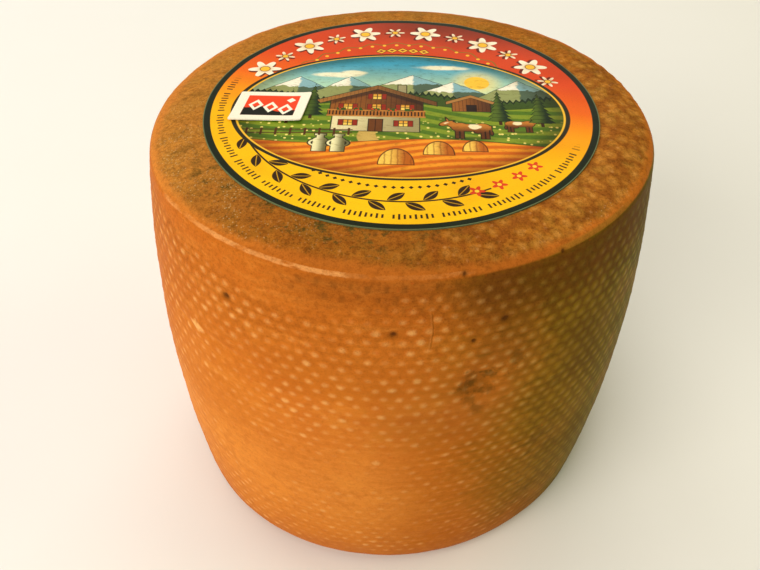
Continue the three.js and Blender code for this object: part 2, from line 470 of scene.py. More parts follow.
# The rind's finish: orange from its washing, cream where the studs are rubbed, olive on the shade side,
# partly mould and partly painted shade, and a duller, mottled bloom on the ring round the label.
RIND_ORANGE = ink(214, 125, 40)
RIND_PALE = ink(222, 141, 57)
RIND_BROWN = ink(186, 100, 27)
RIND_WARM = ink(200, 110, 36)
RIND_AMBER = ink(180, 97, 12)
RIND_DUSKY = ink(146, 78, 22)
RIND_DARK = ink(106, 78, 14)
RIND_RUST = ink(112, 64, 18)
RIND_PINK = ink(188, 118, 70)
RIND_RED = ink(196, 82, 22)
STUD_TAN = ink(234, 174, 100)
STUD_OLIVE = ink(170, 133, 42)
JOIN_BROWN = ink(106, 62, 10)
OLIVE = ink(120, 106, 11)
OLIVE_GREEN = ink(112, 118, 14)
RIM_ORANGE = ink(208, 116, 38)
RIM_BROWN = ink(186, 103, 33)
RIM_OLIVE = ink(164, 114, 38)
RING_BROWN = ink(166, 98, 27)
RING_ORANGE = ink(190, 117, 34)
RING_PALE = ink(205, 139, 60)
RING_DULL = ink(154, 109, 34)
RING_SHADE = ink(122, 80, 22)
RING_JOIN = ink(142, 76, 24)
BLOOM_CREAM = ink(222, 166, 106)
MOULD_GREEN = ink(84, 72, 28)
RIDGE_CREAM = ink(224, 152, 84)
STAIN_BROWN = ink(92, 62, 14)
PIT_DARK = ink(72, 36, 12)
SIDE_RADIUS = 53.5  # about the middle of the side, where the studs' colour is measured out
MARK_RADIUS = 53.0  # the same for the blemishes
RIND_SHEEN = 0.015  # much less than most surfaces have, because the rind is dry and open

rind, rind_shader, place = new_finish("washed_rind", RIND_SHEEN)
height = place.part("Z")
from_lean_x = place.part("X") - height * (LEAN[0] / WHEEL_HEIGHT)
from_lean_y = place.part("Y") - height * (LEAN[1] / WHEEL_HEIGHT)
around = from_lean_y.maths("ARCTAN2", from_lean_x)
luck = place.add("ShaderNodeAttribute", {"attribute_name": "stud"}, {}, "Vector")
true_place = place.add("ShaderNodeAttribute", {"attribute_name": "true_place"}, {}, "Vector")
true_out = true_place.part("X")
true_height = true_place.part("Y")
stud_strength = luck.part("Z")
depth, lobes, turn = ROW_WAVER
row = height + (around * lobes + turn).wave(depth)
row = (row + (around * 7 - turn).wave(0.3 * depth)) / STUD_ROW
row_number = round(row)
column = around * (STUDS_AROUND / (2 * math.pi)) + row_number % 2.0 * 0.5
across = (column - round(column)) * (2 * math.pi * SIDE_RADIUS / STUDS_AROUND) - luck.part("X")
up = (row - row_number) * STUD_ROW - luck.part("Y")
stud_away = ((across / 0.7) ** 2 + (up / 0.58) ** 2) ** 0.5
stud_away = stud_away + (place.cloud(1.2, detail=3, seed=4) - 0.5) * 1.3
stud_mark = (stud_away / (stud_strength * 0.3 + 0.75)).ease(1.7, 0.0) * stud_strength.ease(0.0, 1.05)
# Dark joins between the studs: partly their own brown, partly painted shade in the recesses, strongest on the
# shade side.
join_and_recess_shade = stud_away.ease(1.3, 2.3) * stud_strength.ease(0.0, 0.3)
upright_join = abs(across).ease(0.75, 1.3) * abs(up).ease(1.0, 0.45)

broad = place.cloud(26, detail=3, seed=1)
patches = place.cloud(9, detail=4, rough=0.6, seed=2)
streaks = place.cloud(2.0, detail=3, seed=3, stretch=(7, 7, 1))
dashes = place.cloud(1.0, detail=3, rough=0.6, seed=7, stretch=(3.5, 3.5, 1))
mottle = place.cloud(2.6, detail=4, rough=0.65, seed=12)
fine = place.cloud(0.8, detail=3, rough=0.65, seed=5)
grit = place.cloud(0.28, detail=2, seed=6)


def facing(angle, start, end):
    """0 where the side faces further than start from this angle, and 1 where it is nearer than end."""
    return abs(around - angle).ease(start, end)


def round_mark(angle, z, width, tall):
    """Distance from a spot on the side, where 1 is its edge."""
    sideways = (around - angle) * (MARK_RADIUS / width)
    return (sideways**2 + ((height - z) / tall) ** 2) ** 0.5


# Painted shade: the side turned from the lamps is made olive and darker, and the olive is partly mould.
shade_away = abs(around + 0.1) + (broad - 0.5) * 0.6 + (dashes - 0.5) * 0.25
painted_shade_side = (shade_away + height.ease(36, 4) * 0.2).ease(1.40, 0.66)
painted_shade_side = painted_shade_side * true_height.ease(89.5, 89.0)
upper_band = (height + (patches - 0.5) * 16).ease(60, 84)
right_rim = (height + (mottle - 0.5) * 6).ease(74, 85) * facing(-0.85, 0.62, 0.38)
right_rim = right_rim * (true_height + (patches - 0.5) * 1.8).ease(89.5, 88.9)
foot_band = (height + (patches - 0.5) * 10).ease(12, 1)
dusky_front = abs(around + 1.54 + (broad - 0.5) * 0.3).ease(0.58, 0.26)
dusky_front = dusky_front * (height + (patches - 0.5) * 7).ease(80.5, 88)
# Painted shade: the lower right of the side, turned from the lamps, is darkened with amber brown.
lower_right_shade = facing(-1.12, 0.55, 0.2) * (height + (broad - 0.5) * 20).ease(62, 48)
left_edge = facing(-2.5, 0.6, 0.25) * abs(height - 58).ease(24, 8)
left_side = around.maths("COSINE").ease(-0.35, -0.95)
lower_front = (height + (broad - 0.5) * 30).ease(66, 34) * facing(-2.0, 1.2, 0.4)

colour = (broad * 0.65 + mottle * 0.35).ease(0.37, 0.63).blend(RIND_ORANGE, RIND_WARM)
colour = (
    colour.coat(RIND_PALE, lower_front * 0.5)
    .coat(RIND_BROWN, upper_band * 0.8)
    .coat(RIND_BROWN, left_edge * 0.5)
    .coat(RIND_AMBER, lower_right_shade * 0.62)
    .coat(RIND_PINK, foot_band * 0.6)
    .coat(RIND_PALE, streaks.ease(0.52, 0.74) * 0.3)
    .coat(RIND_BROWN, streaks.ease(0.46, 0.28) * 0.3)
    .coat(RIND_BROWN, (height + (patches - 0.5) * 24).ease(30, 6) * 0.5)
    .coat(RIND_PALE, dashes.ease(0.5, 0.75) * 0.35)
    .coat(RIND_BROWN, mottle.ease(0.5, 0.68) * 0.3)
)
warm_band = abs(height - 67 + (broad - 0.5) * 8).ease(7, 2.5) * facing(-1.65, 0.55, 0.25)
colour = (
    colour.coat(RIND_BROWN, warm_band * 0.55)
    .coat(RIND_DUSKY, dusky_front * (0.3 + mottle * 0.45))
    # painted shade: olive over the shade side, greener at the far right, partly mould
    .coat(OLIVE, painted_shade_side * 0.82)
    .coat(OLIVE_GREEN, facing(-0.1, 0.8, 0.35) * patches.ease(0.36, 0.58) * 0.75)
)
# Painted shade under the rim on the right, in dark brown and rust, partly the rind's own darker band.
rim_stain_and_shade = facing(-1.0, 0.6, 0.3).blend(RIND_DARK, RIND_RUST)
colour = (
    colour.coat(rim_stain_and_shade, right_rim * (0.6 + dashes * 0.5))
    # painted shade: dark brown mottling laid mostly on the shade side, partly the rind's own mottling
    .coat(RIND_DARK, dashes.ease(0.46, 0.3) * (painted_shade_side * 0.4 + 0.04))
    .coat(RIND_DARK, patches.ease(0.44, 0.64) * painted_shade_side * 0.55)
    .coat(RIND_DARK, streaks.ease(0.5, 0.32) * painted_shade_side * 0.4)
    .coat(RIND_RED, place.cloud(1.3, detail=2, seed=15).ease(0.66, 0.78) * 0.3)
    .coat(JOIN_BROWN, join_and_recess_shade * (painted_shade_side * 0.38 + upper_band * 0.16 + 0.03))
    .coat(RIND_RUST, upright_join * dusky_front * mottle.ease(0.34, 0.56) * 0.42)
)
# The studs' olive on the shade side is a painted shaded copy of their tan.
stud_show = stud_mark * (0.78 - right_rim * 0.36 - painted_shade_side * 0.08)
colour = colour.coat(painted_shade_side.blend(STUD_TAN, STUD_OLIVE), stud_show)

# The rim and the ring inside it: a smooth band, the ridge, and the bloom with its mould and granules.
right_ring = facing(-0.5, 1.3, 0.8)
front_left = facing(-2.05, 0.95, 0.2)
rim = true_out.ease(46.0, 48.0) * true_height.ease(89.0, 89.5)
rim_colour = facing(-1.55, 0.75, 0.35).blend(RIM_ORANGE, RIM_BROWN)
colour = colour.coat(rim_colour.coat(RING_PALE, left_side * 0.5), rim * 0.85)
strip = true_height.ease(89.0, 89.2) * true_height.ease(90.1, 89.7) * facing(-0.80, 0.27, 0.12)
colour = colour.coat(RIM_OLIVE, strip * 0.75)
ring_reach = right_ring * 1.6 + facing(-2.5, 0.75, 0.25) * 1.5
ring = (true_out + (mottle - 0.5) * 3.0 - ring_reach).ease(49.4, 47.4) * true_height.ease(89.2, 89.6)
dull = place.cloud(6.5, detail=4, rough=0.65, seed=14)
bright_right = facing(-0.35, 1.0, 0.35)
ring_shade = place.cloud(3.4, detail=5, rough=0.7, seed=8)
cell = place.cells(2.5, seed=1.0)
granules = place.cells(1.5, seed=3.0)
mould = place.cloud(3.2, detail=5, rough=0.75, seed=9)
near_label = true_out.ease(48.5, 43.5)
speck = place.cloud(0.5, detail=2, seed=13)
ring_colour = mottle.ease(0.38, 0.64).blend(RING_BROWN, RING_ORANGE)
ring_colour = (
    ring_colour.coat(RING_DULL, dull.ease(0.45, 0.62) * 0.6)
    .coat(RING_PALE, left_side * 0.5)
    .coat(RING_PALE, bright_right * 0.28)
    .coat(RING_PALE, facing(1.75, 0.9, 0.3) * 0.3)
    .coat(RING_SHADE, ring_shade.ease(0.5, 0.66) * (0.42 - bright_right * 0.25))
    .coat(RING_PALE, cell.ease(0.45, 0.12) * right_ring * 0.75)
    .coat(RING_JOIN, cell.ease(0.42, 0.68) * right_ring * 0.62)
    .coat(RING_JOIN, facing(-1.8, 0.9, 0.35) * 0.4)
    .coat(BLOOM_CREAM, granules.ease(0.34, 0.12) * mottle.ease(0.45, 0.62) * 0.25)
    .coat(MOULD_GREEN, mould.ease(0.5, 0.64) * front_left * (near_label * 0.7 + 0.2))
    .coat(MOULD_GREEN, mould.ease(0.56, 0.7) * 0.3)
    .coat(MOULD_GREEN, speck.ease(0.6, 0.7) * (front_left * 0.4 + 0.15))
)
frosted = facing(-2.5, 0.9, 0.3) + facing(-0.62, 0.34, 0.16) * true_out.ease(48.2, 49.6)
frost = place.cells(0.6, seed=5.0).ease(0.34, 0.1) * frosted
ring_colour = ring_colour.coat(ink(228, 192, 138), frost * dull.ease(0.40, 0.58) * 0.5)
colour = colour.coat(ring_colour, ring)
ridge_away = place.add("ShaderNodeAttribute", {"attribute_name": "ridge"}, {}, "Vector").part("X")
ridge_away = ridge_away + (fine - 0.5) * 0.35
# Painted shadow: a brown band along both sides of the ridge.
colour = colour.coat(RIND_BROWN, ridge_away.ease(1.2, 0.6) * true_place.part("Z") * 0.6)
ridge_part = true_place.part("Z") * dashes.ease(0.3, 0.55)
colour = colour.coat(RIDGE_CREAM, ridge_away.ease(0.5, 0.25) * ridge_part)

# The blemishes: pits with a brown halo, stains round the scar, a scuff, a knob and a hairline crack.
for angle, z, width, _ in PITS:
    edge = round_mark(angle, z, width, width * 0.9) + (fine - 0.5) * 0.8
    colour = colour.coat(JOIN_BROWN, edge.ease(1.7, 0.7) * 0.4)
    colour = colour.coat(PIT_DARK, edge.ease(1.05, 0.3) * 0.75)
for angle, z, wide, tall, strong in SMUDGES:
    stain = round_mark(angle, z, wide, tall) + (fine - 0.5) * 2.4 + (mottle - 0.5) * 2.0
    colour = colour.coat(STAIN_BROWN, stain.ease(1.5, 0.3) * strong)
scar_rim = abs(round_mark(SCAR[0], SCAR[1] - 0.4, 3.6, 2.3) + (mottle - 0.5) * 0.9 - 1.0)
colour = colour.coat(STAIN_BROWN, scar_rim.ease(0.26, 0.06) * patches.ease(0.40, 0.56) * 0.3)
scuff = round_mark(SCUFF[0], SCUFF[1], 1.7, 1.6) + (fine - 0.5) * 1.2
colour = colour.coat(STUD_TAN, scuff.ease(1.1, 0.3) * 0.85)
knob = round_mark(*KNOB, 0.9) + (fine - 0.5) * 0.8
colour = colour.coat(STUD_TAN, knob.ease(1.2, 0.3) * 0.5)
from_crack = height - CRACK[1]
crack_side = (around - CRACK[0] + from_crack * from_crack * 0.0005) * 52.5 + (dashes - 0.5) * 0.5
crack_run = abs(from_crack).ease(CRACK[2], CRACK[2] - 1.2)
crack = abs(crack_side).ease(0.17, 0.04) * crack_run
# The crack's dark line is partly painted shade in it, and the faint pale line beside it is a painted
# highlight on its edge.
colour = colour.coat(JOIN_BROWN, crack * 0.5)
colour = colour.coat(STUD_TAN, abs(crack_side + 0.3).ease(0.25, 0.1) * crack_run * 0.08)
grain = upper_band * 0.17 + ring * 0.2 + 0.12
colour = colour.tint(ink(170, 156, 140), fine.ease(0.42, 0.66) * grain)
colour = colour.tint(ink(140, 124, 104), grit.ease(0.5, 0.75) * grain)

roughness = 0.5 + ring * 0.12 + (patches - 0.5) * 0.2 - stud_mark * 0.08
height_map = (fine * 0.05 + grit * 0.03) * (grain * 2.0) + dashes * 0.03 + stud_mark * 0.05
height_map = height_map - ring * mould.ease(0.5, 0.7) * 0.05 - crack * 0.005
finish_with(rind_shader, colour, roughness, height_map)
wheel.data.materials.append(rind)
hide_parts("cheese_wheel")
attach(wheel, "root")


# Round label: thin glossy paper, printed and die-cut, pasted on the wheel's top while the rind was
# dry, so that it follows the top and has come up a little in places along its edge.
label_low, label_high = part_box("round_label")
LABEL_MIDDLE = (label_low + label_high) / 2 / MM
LABEL_RADIUS = (label_high.x - label_low.x) / 2 / MM
PAPER = (label_high.z - label_low.z) / MM
LABEL_COLUMNS = 180
LABEL_RINGS = 24
LABEL_SHEEN = 0.05

bpy.ops.object.select_all(action="DESELECT")
bpy.ops.mesh.primitive_cylinder_add(
    vertices=LABEL_COLUMNS,
    radius=LABEL_RADIUS * MM,
    depth=PAPER * MM,
    end_fill_type="NGON",
    location=LABEL_MIDDLE * MM,
)
label = bpy.context.object
label.name = "paper_label"
bpy.ops.object.mode_set(mode="EDIT")
bpy.ops.mesh.select_all(action="DESELECT")
bpy.ops.object.mode_set(mode="OBJECT")
for face in label.data.polygons:
    face.select = face.normal.z > 0.9
bpy.ops.object.mode_set(mode="EDIT")
bpy.ops.mesh.select_mode(type="FACE")
bpy.ops.mesh.inset(thickness=0.12 * MM)
for _ in range(LABEL_RINGS - 1):
    bpy.ops.mesh.inset(thickness=LABEL_RADIUS / (LABEL_RINGS + 1) * MM)
bpy.ops.mesh.poke()
bpy.ops.object.mode_set(mode="OBJECT")
bpy.ops.object.transform_apply(location=True, rotation=False, scale=False)

points = read_points(label.data) / MM
from_middle = points - np.array(LABEL_MIDDLE)
edge_share = np.hypot(from_middle[:, 0], from_middle[:, 1]) / LABEL_RADIUS
lift = 0.05 * (1 + lumps(points, 15, 31)) * (1 - edge_share**6)
lift += 0.28 * ease(edge_share, 0.93, 1.0) * np.clip(lumps(points, 9, 32) - 0.05, 0, 1)
on_top_face = from_middle[:, 2] > 0
points[:, 2] += np.where(on_top_face | (edge_share > 0.99), lift, 0)
move_points(label.data, points)
bpy.ops.object.shade_smooth_by_angle(angle=math.radians(40))

# The label's print: a generic alpine farm in an oval, in the middle of a field that runs from red at
# the top to yellow at the bottom, with star flowers above, a leafy sprig below and fine strokes
# round the edge. It is fields of colour and simple shapes, with no lettering.
PRINT_SOFT = 0.07  # how sharply an edge is printed
PRINT_DARK = ink(44, 40, 20)
PRINT_CREAM = ink(252, 240, 212)
PRINT_GOLD = ink(248, 190, 52)
PRINT_RED = ink(222, 66, 24)
LEAF_DARK = ink(52, 34, 12)
GARLAND_RADIUS = 33.7
STEM_RADIUS = 28.0
BERRY_RADIUS = 27.2
LOZENGE_RADIUS = 24.6
SPRIG_RADIUS = 32.7
BEAD_RADIUS = 28.5
TICK_RADIUS = 37.0
TICK_TURN = 0.0262  # from one stroke at the edge to the next, in radians
PICTURE_MIDDLE = (-0.2, -1.8)
PICTURE_REACH = (33.4, 23.6)

paper_print, label_shader, place = new_finish("label_print", LABEL_SHEEN)
print_place = place.moved((1, 1, 0), (-LABEL_MIDDLE.x, -LABEL_MIDDLE.y, 0))
side = print_place.part("X")
upright = print_place.part("Y")
out = (side**2 + upright**2) ** 0.5
around = upright.maths("ARCTAN2", side)


def seen_from(middle, turn, on):
    """How far across and up a point lies from the middle of a shape, along the shape's own sides."""
    x = on[0] - middle[0]
    y = on[1] - middle[1]
    if turn == 0:
        return x, y
    return x * math.cos(turn) + y * math.sin(turn), y * math.cos(turn) - x * math.sin(turn)


def oval(middle, reach, turn=0.0, on=(side, upright)):
    """Distance from an oval's edge, less than 0 inside it."""
    x, y = seen_from(middle, turn, on)
    return (((x / reach[0]) ** 2 + (y / reach[1]) ** 2) ** 0.5 - 1) * min(reach)


def block(middle, reach, turn=0.0, on=(side, upright)):
    """Distance from a rectangle's edge, less than 0 inside it."""
    x, y = seen_from(middle, turn, on)
    return both(abs(x) - reach[0], abs(y) - reach[1])


def star(sideways, upwards, size, depth, points):
    """Distance from the edge of a flower or star with this many points."""
    reach = (sideways * sideways + upwards * upwards) ** 0.5
    turn = upwards.maths("ARCTAN2", sideways) * points
    return reach - turn.maths("COSINE") * depth - size


def joined(*shapes):
    """Distance from the edge of several shapes taken together."""
    whole = shapes[0]
    for shape in shapes[1:]:
        whole = whole.maths("MINIMUM", shape)
    return whole


def both(first, second):
    """Distance from the edge of what two shapes have in common."""
    return first.maths("MAXIMUM", second)


def fill(shape, margin=0.0, soft=PRINT_SOFT):
    return shape.ease(soft + margin, margin - soft)


def stroke(shape, width):
    return (abs(shape) - width / 2).ease(PRINT_SOFT, -PRINT_SOFT)


def between(value, low, high, soft=PRINT_SOFT):
    return value.ease(low - soft, low + soft) * value.ease(high + soft, high - soft)


def printed(under, shape, over, margin=0.2, line=PRINT_DARK):
    """A print with one more shape on it, over a dark line that shows all round its edge."""
    return under.coat(line, fill(shape, margin)).coat(over, fill(shape))


def repeated(start, spacing):
    """Along a ring: the number of the nearest place, and how far round from it a point is."""
    count = (around - start) / spacing
    nearest = round(count)
    return nearest, (count - nearest) * spacing


field = (upright + side * 0.22) / 80 + 0.5
field_stops = [
    (0.0, ink(255, 198, 2)),
    (0.36, ink(255, 184, 0)),
    (0.48, ink(250, 152, 8)),
    (0.58, ink(238, 104, 16)),
    (0.72, ink(222, 72, 18)),
    (1.0, ink(200, 62, 26)),
]
colour = field.add("ShaderNodeValToRGB", {"stops": field_stops}, {0: field})
scorched = upright.ease(20, 38) * side.ease(-22, 8) * out.ease(22, 37)
colour = colour.coat(ink(104, 38, 14), scorched * 0.8)

# Star flowers on the red, large and small by turns, each with a shadow and a gold eye, and inside
# them a wavy stem and a short row of gold lozenges.
number, turned = repeated(math.radians(20), math.radians(12.2))
garland = between(number, -0.5, 11.5, 0.01)
small = 1 - number % 2.0
along = turned * GARLAND_RADIUS
above = out - GARLAND_RADIUS
petals = star(along, above, 2.75, 0.95, 6) + small * 1.45
shadow = star(along - 0.5, above + 0.5, 2.75, 0.95, 6) + small * 1.45
middle_away = (along * along + above * above) ** 0.5
colour = colour.coat(ink(84, 24, 8), fill(shadow, soft=0.12) * garland * 0.9)
petal_colour = middle_away.ease(0.6, 2.4).blend(ink(226, 196, 150), PRINT_CREAM)
colour = colour.coat(petal_colour, fill(petals) * garland)
eye = middle_away + small * 0.4 - 1.0
colour = colour.coat(ink(150, 84, 12), fill(eye, 0.22) * garland)
colour = colour.coat(PRINT_GOLD, fill(eye) * garland)
stem = out - STEM_RADIUS + (around * 30).wave(0.5)
colour = colour.coat(ink(150, 104, 30), stroke(stem, 0.4) * between(around, 0.62, 2.5))
berry = abs(around.fraction(math.pi / 30) - 0.5) * 2.9
berry = (berry**2 + (out - BERRY_RADIUS) ** 2) ** 0.5 - 0.42
colour = colour.coat(PRINT_GOLD, fill(berry) * between(around, 0.62, 2.5))
number, turned = repeated(math.radians(90), 0.1)
five = between(number, -2.5, 2.5, 0.01)
lozenge = abs(turned * LOZENGE_RADIUS) * 0.9 + abs(out - LOZENGE_RADIUS) - 1.05
colour = (
    colour.coat(ink(92, 40, 8), fill(lozenge, 0.25) * five)
    .coat(PRINT_GOLD, fill(lozenge) * five)
    .coat(ink(150, 66, 14), fill(lozenge, -0.55) * five)
)

# A dark leafy sprig on the yellow, a line of beads inside it, and fine strokes round the edge.
number, turned = repeated(-2.78, 0.1)
sprig = between(number, -0.5, 17.5, 0.01)
flip = number % 2.0 * 2 - 1
along = turned * SPRIG_RADIUS
above = (out - SPRIG_RADIUS) * flip - 1.45
leaf_long = along * math.cos(0.6) + above * math.sin(0.6)
leaf_wide = above * math.cos(0.6) - along * math.sin(0.6)
leaf = abs(leaf_wide) + (leaf_long * leaf_long) * 0.24 - 0.98
stalk = abs(out - SPRIG_RADIUS) - 0.2
colour = colour.coat(LEAF_DARK, fill(joined(leaf, stalk)) * sprig)
colour = colour.coat(ink(216, 160, 20), stroke(leaf_wide, 0.16) * fill(leaf, -0.25) * sprig)
number, turned = repeated(-2.16, 0.056)
bead = abs(turned * BEAD_RADIUS) + abs(out - BEAD_RADIUS) - 0.48
colour = colour.coat(LEAF_DARK, fill(bead) * between(number, -0.5, 19.5, 0.01))
from_left = (around + 3.5) % (2 * math.pi)
count = from_left / TICK_TURN
nearest = round(count)
tall = (nearest * 1.7) % 3.0 * 0.13 + 0.42
gap = (nearest % 9.0).ease(0.4, 0.6)
tick = both(abs((count - nearest) * (TICK_TURN * TICK_RADIUS)) - 0.2, abs(out - TICK_RADIUS) - tall)
colour = colour.coat(LEAF_DARK, fill(tick) * gap * between(from_left, 0.1, 3.1))
for flower_side, flower_up in ((14.2, -29.0), (18.4, -26.8), (22.2, -24.0), (25.4, -20.8)):
    flower = star(side - flower_side, upright - flower_up, 1.15, 0.42, 5)
    colour = colour.coat(PRINT_RED, fill(flower))
    heart = oval((flower_side, flower_up), (0.42, 0.42))
    colour = colour.coat(ink(255, 216, 60), fill(heart))

# The picture: sky, sun and clouds first, then each peak with its lit side, its shade and its snow.
jag = (print_place.cloud(2.4, detail=4, rough=0.6, seed=41) - 0.5) * 2.2
ripple = (print_place.cloud(1.1, detail=3, rough=0.6, seed=42) - 0.5) * 2
picture = upright.ease(5, 19).blend(ink(186, 222, 186), ink(58, 158, 190))
sun = oval((16.2, 10.2), (2.7, 2.7))
picture = picture.coat(ink(252, 226, 130), sun.ease(4.0, 0.0) * 0.6)
picture = picture.coat(ink(255, 200, 60), fill(sun))
for middle, reach in (((-14, 12.6), (5.0, 1.0)), ((-10.6, 13.6), (2.6, 1.0)), ((9, 16.6), (5.0, 0.9))):
    cloud_bank = oval(middle, reach) + jag * 0.35
    picture = picture.coat(ink(246, 240, 206), cloud_bank.ease(0.35, -0.25))
PEAKS = [(2.5, 13.0, 0.66), (-22.0, 11.4, 0.8), (11.0, 10.2, 0.7), (-11.0, 12.0, 0.95), (25.0, 11.4, 0.85)]
for across_picture, top, steep in PEAKS:
    aside = side - across_picture
    peak = upright + abs(aside) * steep + jag * 0.5 - top
    shaded = (aside + jag * 1.3 + ripple * 0.3).ease(-0.25, 0.3)
    stone = shaded.blend(ink(150, 156, 96), ink(78, 98, 76))
    stone = stone.coat(ink(52, 70, 58), (ripple + jag * 0.4).ease(0.3, 0.7) * 0.5)
    snow = shaded.blend(ink(250, 244, 222), ink(138, 180, 186))
    stone = stone.coat(snow, (upright + jag * 1.6).ease(top - 4.3, top - 4.0))
    picture = printed(picture, peak, stone, 0.18, ink(44, 58, 46))

# Woods with pointed tops, then meadows in strips with flowers in them, and a path to the farmhouse.
pointed = abs(side.fraction(1.3) - 0.5) * 2.4 + jag * 0.8
woods = upright - (side * 0.19 + 1.0).wave(1.5) + pointed - 4.6
picture = (
    picture.coat(ink(26, 44, 18), fill(woods))
    .coat(ink(66, 90, 26), fill(woods + 1.0 + jag * 0.7) * 0.75)
    .coat(ink(30, 50, 20), ripple.ease(0.2, 0.5) * fill(woods + 1.6) * 0.8)
)
meadow = upright - (side * 0.14 + 2.2).wave(1.3) - 0.4
strip = (meadow * 2.1 + side * 0.32 + jag * 0.3).wave(1.0)
green = strip.ease(-0.5, 0.5).blend(ink(82, 116, 24), ink(132, 150, 36))
green = green.coat(ink(52, 84, 20), ripple.ease(0.1, 0.7) * 0.55)
blossom = print_place.cells(1.25, seed=4.0) - 0.24
green = green.coat(ink(246, 224, 120), fill(blossom, soft=0.05) * upright.ease(-4, -7))
picture = printed(picture, meadow, green, 0.14, ink(30, 48, 16))
path = abs(side + 5.0 + (upright * 0.42).wave(1.6)) + upright * 0.14 - 0.2
picture = picture.coat(ink(212, 176, 92), both(path, upright + 8.6).ease(0.25, -0.1) * fill(meadow))
mown = upright - (side * 0.12 + 0.6).wave(1.1) + 13.4
swath = (mown * 3.0 - side * 0.5 + jag * 0.5).wave(1.0)
straw = swath.ease(-0.9, 0.9).blend(ink(214, 104, 14), ink(246, 156, 34))
straw = straw.coat(ink(176, 78, 12), ripple.ease(0.25, 0.8) * 0.5)
picture = printed(picture, mown, straw, 0.16, ink(96, 52, 10))

# The farmhouse: a stone ground floor, a timber floor over it with a balcony, and a wide low roof.
HOUSE = -5.0
from_ridge = abs(side - HOUSE)
lit_left = (side - HOUSE).ease(-9, 9)
chimney = block((HOUSE + 5.2, 6.6), (0.85, 1.9))
picture = printed(picture, chimney, lit_left.blend(ink(222, 208, 160), ink(150, 138, 96)))
stone_floor = block((HOUSE, -6.9), (8.8, 2.9))
stone_wall = lit_left.blend(ink(236, 220, 166), ink(158, 146, 98))
stone_wall = stone_wall.coat(ink(128, 116, 76), ripple.ease(0.25, 0.5) * 0.45)
picture = printed(picture, stone_floor, stone_wall, 0.22)
timber = both(both(from_ridge - 9.5, -4.2 - upright), upright + from_ridge * 0.52 - 7.0)
boards = lit_left.blend(ink(152, 88, 26), ink(84, 46, 14))
seam = side.fraction(1.05).ease(0.16, 0.04)
boards = boards.coat(ink(56, 30, 8), seam * 0.85)
boards = boards.coat(ink(182, 112, 40), ripple.ease(0.3, 0.7) * 0.35)
picture = printed(picture, timber, boards, 0.22)
under_roof = both(timber, abs(upright + from_ridge * 0.52 - 6.1) - 1.0)
picture = picture.coat(ink(40, 22, 8), under_roof.ease(0.4, -0.5) * 0.7)
roof = both(abs(upright + from_ridge * 0.52 - 7.5) - 0.75, from_ridge - 12.4)
tiles = lit_left.blend(ink(168, 112, 50), ink(112, 70, 28))
tiles = tiles.coat(ink(70, 42, 16), from_ridge.fraction(0.8).ease(0.2, 0.05) * 0.6)
picture = printed(picture, roof, tiles, 0.22)
for window_side, window_up in ((-5.9, -0.6), (0, -0.6), (5.9, -0.6), (-5.6, -6.8), (5.6, -6.8), (0, 3.6)):
    window = block((HOUSE + window_side, window_up), (0.85, 1.0))
    shutter = both(block((HOUSE + window_side, window_up), (1.9, 1.05)), -0.85 - window)
    picture = printed(picture, shutter, ink(150, 40, 14), 0.12)
    pane = upright.ease(window_up - 1, window_up + 1).blend(ink(255, 216, 96), ink(226, 150, 40))
    picture = printed(picture, window, pane, 0.15)
    bars = joined(abs(side - HOUSE - window_side), abs(upright - window_up)) - 0.1
    picture = picture.coat(PRINT_DARK, fill(both(bars, window)))
door = block((HOUSE, -7.6), (1.35, 2.2))
door_leaf = lit_left.blend(ink(120, 66, 20), ink(104, 56, 18))
picture = printed(picture, door, door_leaf, 0.2, ink(40, 22, 8))
picture = picture.coat(ink(44, 24, 8), stroke(side - HOUSE, 0.16) * fill(door))
balcony = block((HOUSE, -3.1), (9.9, 1.15))
baluster = side.fraction(0.7).ease(0.35, 0.5)
picture = picture.coat(ink(38, 20, 6), fill(balcony, 0.15))
picture = picture.coat(ink(176, 106, 36), fill(balcony) * baluster)
rails = joined(block((HOUSE, -2.05), (10.1, 0.24)), block((HOUSE, -4.2), (10.1, 0.24)))
picture = picture.coat(ink(196, 128, 52), fill(rails))
boxes = both(block((HOUSE, -1.6), (9.0, 0.42)), abs((side * 0.9).wave(1.0)).ease(0.75, 0.6) - 0.5)
picture = picture.coat(ink(50, 84, 24), boxes.ease(0.3, -0.1))
geranium = print_place.cells(0.62, seed=2.0) - 0.36
picture = picture.coat(ink(226, 44, 20), fill(geranium, soft=0.06) * boxes.ease(0.35, 0.0))

# A hay barn further off, two brown cows, firs on both sides, haycocks and a pair of milk churns.
BARN = 14.6
from_barn = abs(side - BARN)
barn = both(both(from_barn - 3.9, -1.6 - upright), upright + from_barn * 0.55 - 4.1)
picture = printed(picture, barn, (side - BARN).ease(-4, 4).blend(ink(158, 94, 34), ink(84, 46, 16)), 0.18)
barn_boards = side.fraction(0.8).ease(0.2, 0.05)
picture = picture.coat(ink(52, 28, 10), barn_boards * fill(barn) * 0.8)
barn_roof = both(abs(upright + from_barn * 0.55 - 4.4) - 0.5, from_barn - 5.2)
picture = printed(picture, barn_roof, ink(176, 122, 60), 0.15)
picture = picture.coat(ink(38, 20, 8), fill(block((BARN, -0.3), (1.1, 1.3))))

COW_OVALS = [
    ((-1.7, 0.2), (1.3, 1.15), 0),
    ((1.7, 0.25), (1.35, 1.2), 0),
    ((2.85, 0.95), (1.2, 0.68), 0.75),
    ((3.85, 1.3), (1.0, 0.5), -0.5),
    ((4.4, 0.95), (0.42, 0.36), 0),
    ((3.25, 1.75), (0.5, 0.17), 2.7),
    ((3.6, 2.1), (0.12, 0.5), -0.3),
    ((-1.0, -1.0), (0.55, 0.4), 0),
    ((-3.05, -1.3), (0.2, 0.45), 0),
]  # middle, reach and turn, for a cow of size 1 that faces right
COW_BLOCKS = [((0, 0.15), (2.1, 0.98))] + [((leg, -1.75), (0.24, 1.15)) for leg in (-2.4, -1.7, 1.45, 2.2)]
COW_BLOCKS += [((-2.98, -0.3), (0.09, 1.0))]

